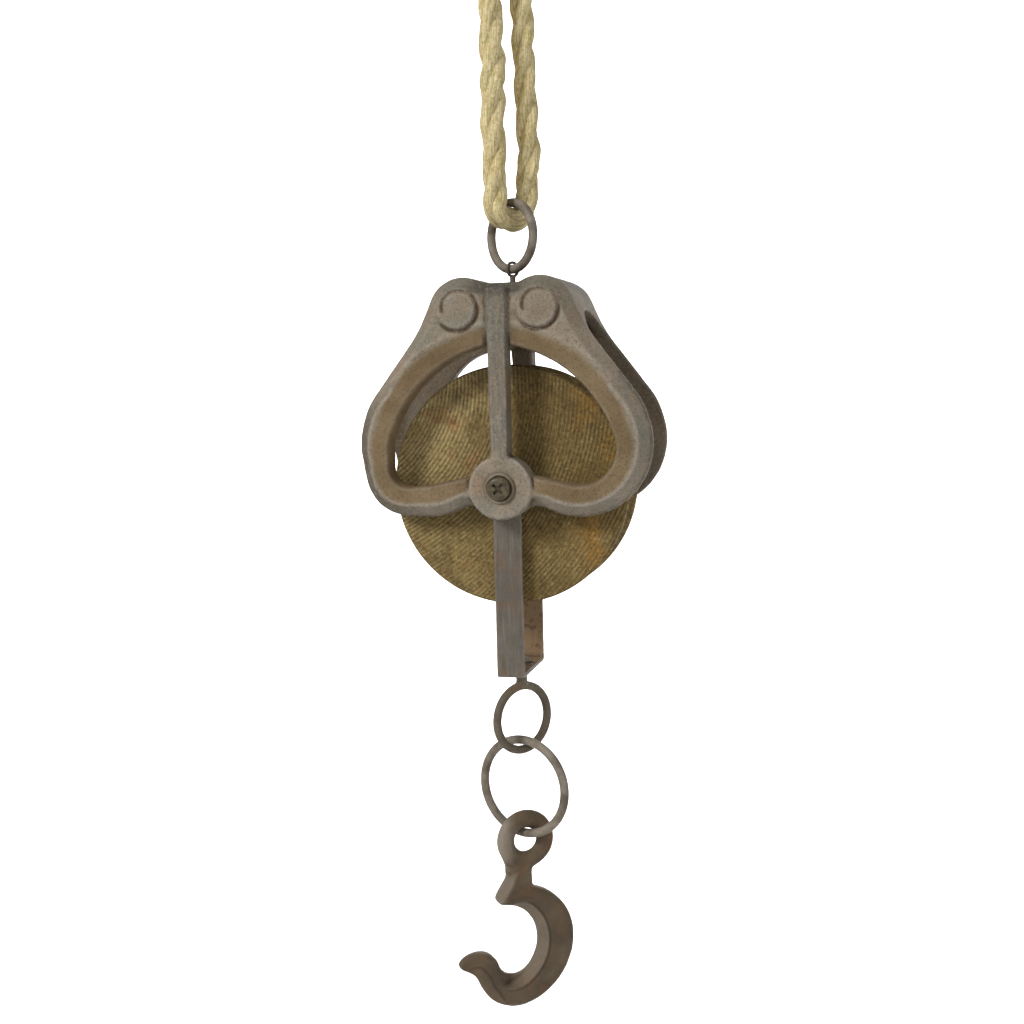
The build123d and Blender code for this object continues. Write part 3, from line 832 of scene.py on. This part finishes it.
# Hook: facets along the bowl and the neck, under the tip and round the heel
def hook_plane(places):
    """Where points lie in the plane of the hook: across and up from the middle of its eye, in millimetres."""
    return places @ hook_across / mm, (places[:, 2] - hook_z) / mm


def bowl_facet(u, w):
    """Distance of points from the bowl of the hook, and the width of the facet along it there."""
    from_bowl = toward_circle(u, w, hook_bowl) - hook_bowl[2]
    turn = direction(u, w, hook_bowl)
    return from_bowl, 0.3 + 3.8 * ease(turn, -104, -62) * (1 - ease(turn, 48, 95))


def under_facet(u, w):
    """The same for the facet under the tip and round the heel."""
    under = hollow_centre(hook_nose, hook_heel, hook_under_r)
    under_turn = direction(u, w, under)
    heel_turn = direction(u, w, hook_heel)
    by_nose = under_turn > direction(hook_heel[0], hook_heel[1], under)
    from_under = toward_circle(u, w, under) - hook_under_r
    from_heel = hook_heel[2] - toward_circle(u, w, hook_heel)
    share = np.where(by_nose, 1 - ease(under_turn, 46, 66), 1 - ease(heel_turn, -140, -95))
    low = (u < -4) & (w < -52)
    return np.where(by_nose, from_under, from_heel), 0.2 + 4.4 * share * low


def nape_distance(u, w):
    """Distance of points from the sloping edge at the left of the neck."""
    return (u - nape[0]) * nape_normal[0] + (w - nape[1]) * nape_normal[1]


def facet_cut(u, w):
    """How far each face of the hook is cut back at points of its outline's plane."""
    from_bowl, width = bowl_facet(u, w)
    from_under, under_width = under_facet(u, w)
    on_neck = ease(w, -31, -29) * (1 - ease(w, -14.5, -12.0))
    cuts = (
        3.4 * ease(width, 0.3, 3.2) * np.clip(1 - from_bowl / width, 0, 1),
        2.8 * np.clip(1 - from_under / under_width, 0, 1) * (under_width > 0.3),
        2.9 * np.clip(1 - nape_distance(u, w) / 3.7, 0, 1) * on_neck,
        2.2 * ease(-u, 19, 31) * (w < -44),
        1.7 * ease(w, -21, -14.5),
    )
    cut = np.max(cuts, axis=0)
    half_eye = 3.0 * np.sqrt(np.clip(1 - ((np.hypot(u, w) - eye_mid) / eye_half) ** 2, 0.03, 1))
    return np.where(w > eye_low, np.maximum(cut, hook_half - half_eye), cut)


def neck_side(w):
    """How far the left side of the neck reaches out at some levels, and whether they belong to it."""
    return np.interp(w, neck_levels, neck_reach), (w > neck_levels[0]) & (w < neck_levels[-1])


def fill_neck(mesh):
    """Lets the eye flow into the left side of the neck, and makes the nose a little longer."""
    places = points_of(mesh)
    u, w = hook_plane(places)
    edge = np.where(w < eye_low, neck_reach[0], np.sqrt(np.clip((eye_mid + eye_half) ** 2 - w**2, 1, None)))
    reach, on_side = neck_side(w)
    out = np.clip(reach - edge, 0, None) * ease(-u, 3.0, 7.0) * on_side
    out = out + 0.9 * ease(-u, 25.0, 31.0)
    down = 1.6 * ease(-w, 8.0, 11.0) * (w > eye_low) * (u < -2)
    set_points(mesh, places - out[:, None] * mm * hook_across - down[:, None] * mm * upward)


def trim_neck(mesh):
    """Takes back what stands out past the left side of the neck."""
    places = points_of(mesh)
    u, w = hook_plane(places)
    reach, on_side = neck_side(w)
    beyond = np.clip(-u - reach, 0, None) * on_side
    set_points(mesh, places + beyond[:, None] * mm * hook_across)


def cut_facets(mesh):
    """Cuts the facets and softens the nose and the neck. Gives back the cut points, and u and w."""
    places = points_of(mesh)
    u, w = hook_plane(places)
    off = places @ hook_facing / mm
    over = np.clip(np.abs(off) - hook_half + facet_cut(u, w), 0, None) * np.sign(off)
    places = relaxed(places - over[:, None] * mm * hook_facing, edges_of(mesh), 4)
    softer = np.maximum(ease(-u, 18.0, 24.0), bell(w, -12.5, 6.5) * ease(np.hypot(u, w), 7.0, 9.0))[:, None]
    set_points(mesh, places * (1 - softer) + relaxed(places, edges_of(mesh), 36) * softer)
    return places, u, w


def mark_facets(mesh, places, u, w):
    """Stores where the hook is painted lighter, with a painted highlight along its bowl facet and on the left
    of its eye and a lighter band along its neck facet, and painted shadow lines along its facets.
    """
    from_bowl, width = bowl_facet(u, w)
    # painted highlight along the bowl facet
    along_bowl = ease(width, 0.8, 2.5) * (w < -28)
    lit = (1 - ease(from_bowl, width - 0.5, width + 0.2)) * along_bowl
    lit = lit * ease(direction(u, w, hook_bowl), -90, -40)
    # the left of the eye is painted lighter, as if lit from that side
    uneven = 1.6 * lumps(places, 4.0 * mm, 5)
    painted_eye_light = ease(uneven - u, 4.0, 13.0) * ease(w, -16.0, -8.0)
    neck = 0.55 * (1 - ease(nape_distance(u, w), 2.4, 3.7))
    neck = neck * ease(w, -31, -29) * (1 - ease(w, -17, -12))
    add_float(mesh, "facet", np.max([0.45 * lit, painted_eye_light, neck], axis=0))
    from_under, under_width = under_facet(u, w)
    # painted shadow lines along the ridges of the facets
    ridge = bell(from_under, under_width + 0.3, 1.0) * ease(under_width, 0.6, 2.0)
    add_float(mesh, "line", np.maximum(bell(from_bowl, width + 0.5, 0.9) * along_bowl, ridge))


def build_hook(look):
    mesh = even_mesh("hook_rough", ("hook",), hook_voxel)
    fill_neck(mesh)
    mesh = evened(mesh, hook_voxel)
    trim_neck(mesh)
    mesh = evened(mesh, hook_voxel)
    places, u, w = cut_facets(mesh)
    roughen(mesh, 0.2 * mm, 4.5 * mm, 11)
    mark_wear_and_shade(mesh, 16)
    mark_facets(mesh, places, u, w)
    finish_piece("hook_casting", mesh, "hook", "hook_iron", look, "hook")


def build_strap(look):
    mesh = even_mesh("strap", ("becket_strap",), strap_voxel)
    set_points(mesh, relaxed(points_of(mesh), edges_of(mesh), 2))
    roughen(mesh, 0.12 * mm, 3.0 * mm, 17)
    mark_wear_and_shade(mesh, 14)
    normals = normals_of(mesh)
    places = points_of(mesh)
    # rust on the strap's inner and upper faces
    inward = ease(-normals[:, 1] * np.sign(places[:, 1]), 0.2, 0.7)
    add_float(mesh, "inner_shade_and_rust", np.maximum(inward, ease(normals[:, 2], 0.3, 0.7)))
    finish_piece("strap", mesh, "becket", "strap_iron", look, "becket_strap")


# Cupped washer round the screw head: its section as radii and distances to the front
cup_section = ((5.1, 31.3), (5.1, 32.5), (5.4, 32.95), (5.9, 33.15), (6.35, 33.0), (6.6, 32.5), (6.6, 31.3))


def build_cup_washer(look, around=96):
    vertices = []
    faces = []
    corners = len(cup_section)
    for i in range(around):
        turn = full_turn * i / around
        for radius, front in cup_section:
            x = radius * math.cos(turn) * mm
            z = axle_z + radius * math.sin(turn) * mm
            vertices.append((x, -front * mm, z))
        here = i * corners
        there = (i + 1) % around * corners
        for j in range(corners):
            k = (j + 1) % corners
            faces.append((here + j, here + k, there + k, there + j))
    mesh = bpy.data.meshes.new("cup_washer")
    mesh.from_pydata(vertices, [], faces)
    finish_piece("cup_washer", mesh, "block", "casting_iron", look, "front_axle_washer")


# Axle screw, turned about its own length
def build_screw(look):
    mesh = nodes["axle_screw"].data.copy()
    centre = Vector((0.0, 0.0, axle_z))
    turn = Matrix.Rotation(screw_turn, 4, "Y")
    mesh.transform(Matrix.Translation(centre) @ turn @ Matrix.Translation(-centre))
    finish_piece("screw", mesh, "block", "screw_bronze", look, "axle_screw")


# Stage: a pale floor that curves up behind, soft light and the camera
def build_stage():
    floor_z = -1.1
    front_y = -3.0
    bend_y = 1.2
    bend_r = 0.8
    bend_steps = 12
    wall_high = 2.6
    half_width = 2.6
    profile = [(front_y, 0.0), (bend_y, 0.0)]
    for step in range(1, bend_steps + 1):
        turn = math.pi / 2 * step / bend_steps
        profile.append((bend_y + bend_r * math.sin(turn), bend_r * (1 - math.cos(turn))))
    profile.append((bend_y + bend_r, wall_high))
    vertices = [(side * half_width, y, floor_z + z) for y, z in profile for side in (-1, 1)]
    faces = [(2 * i, 2 * i + 1, 2 * i + 3, 2 * i + 2) for i in range(len(profile) - 1)]
    mesh = bpy.data.meshes.new("backdrop")
    mesh.from_pydata(vertices, [], faces)
    mesh.polygons.foreach_set("use_smooth", np.ones(len(faces), dtype=bool))
    look = Look("backdrop_paper", 0.95, specular=0.1)
    tone = look.noise(look.place(), 1.5, detail=1.0)
    look.feed("Base Color", look.mix((0.93, 0.93, 0.93), (0.95, 0.95, 0.95), tone))
    mesh.materials.append(look.material)
    linked("backdrop", mesh)


def area_light(name, place, target, size, power, spread=180.0):
    lamp = bpy.data.lights.new(name, "AREA")
    lamp.shape = "DISK"
    lamp.size = size
    lamp.energy = power
    lamp.spread = math.radians(spread)
    made = linked(name, lamp)
    made.location = place
    made.rotation_mode = "QUATERNION"
    made.rotation_quaternion = (Vector(target) - Vector(place)).to_track_quat("-Z", "Y")


def build_light():
    world = bpy.data.worlds.new("studio")
    bpy.context.scene.world = world
    world.use_nodes = True
    background = world.node_tree.nodes["Background"]
    background.inputs["Color"].default_value = (1.0, 1.0, 1.0, 1.0)
    background.inputs["Strength"].default_value = 0.38
    centre = (0.0, 0.0, -0.22)
    area_light("key", (-0.95, -1.3, 0.75), centre, 0.5, 24.5)
    area_light("fill", (1.5, -0.9, 0.1), centre, 1.0, 6.5)
    area_light("wash_left", (-1.35, 0.5, 0.1), (-0.75, 2.0, -0.2), 1.0, 26.0, 120.0)
    area_light("wash_right", (0.95, 0.5, 0.1), (-0.1, 2.0, -0.2), 1.0, 26.0, 120.0)
    bpy.context.scene.view_settings.view_transform = "Standard"


def build_camera():
    azimuth, elevation, roll = (math.radians(v) for v in (13.75, 5.57, -1.30))
    distance = 0.62099
    focal = 1400.0
    image = 1024.0
    axle_seen = (517.3, 482.4)
    level = math.cos(elevation)
    back = Vector((math.sin(azimuth) * level, -math.cos(azimuth) * level, math.sin(elevation)))
    right = Vector((math.cos(azimuth), math.sin(azimuth), 0.0))
    up = back.cross(right)
    turned_right = right * math.cos(roll) + up * math.sin(roll)
    turned_up = up * math.cos(roll) - right * math.sin(roll)
    off_right = (axle_seen[0] - image / 2) / focal * distance
    off_up = (image / 2 - axle_seen[1]) / focal * distance
    axle = Vector((0.0, 0.0, axle_z))
    place = axle + back * distance - turned_right * off_right - turned_up * off_up
    lens = bpy.data.cameras.new("camera")
    lens.sensor_width = 36.0
    lens.lens = focal / image * lens.sensor_width
    camera = linked("camera", lens)
    rows = [(turned_right[i], turned_up[i], back[i], place[i]) for i in range(3)]
    camera.matrix_world = Matrix([*rows, (0.0, 0.0, 0.0, 1.0)])
    bpy.context.scene.camera = camera


# The scene, piece by piece
build_camera()
build_rope()
build_casting()
ring_look = iron_look("ring_iron", (96, 86, 72), (136, 126, 112))
strap_look = worn_and_shaded_iron_look(
    "strap_iron", (78, 62, 46), (92, 86, 77), (108, 101, 91), (138, 132, 122), (132, 108, 80), 0.4
)
hook_look = worn_and_shaded_iron_look("hook_iron", (50, 38, 25), (79, 66, 49), (98, 83, 64), (144, 133, 118))
eye_look = worn_and_shaded_iron_look("eye_iron", (62, 51, 38), (86, 76, 61), (116, 106, 90), (128, 120, 106))
build_strap(strap_look)
build_hook(hook_look)
build_soft_iron("swivel", "swivel_eye", "swivel", "ring_iron", eye_look, hook_voxel, 5)
build_cup_washer(iron_look("washer_iron", (100, 88, 70), (136, 124, 106)))
paint(ring_look, "top_ring", "lower_link")
dark_look = iron_look("dark_fittings", (76, 68, 56), (100, 90, 76))
paint(dark_look, "hanger_eye", "hanger_washer", "hanger_nut", "swivel_washer", "axle_nut")
paint(iron_look("dull_steel", (96, 92, 86), (122, 118, 110)), "axle_sleeve", "front_spacer", "rear_spacer")
paint(iron_look("rear_washer_iron", (104, 92, 76), (128, 116, 98)), "rear_axle_washer")
build_screw(iron_look("screw_bronze", (60, 52, 36), (96, 86, 62), 0.42, 4.0))
paint(iron_look("bush_brass", (120, 96, 48), (146, 122, 70), 0.4), "sheave_bush")
paint(wheel_look(), "sheave")
build_stage()
build_light()
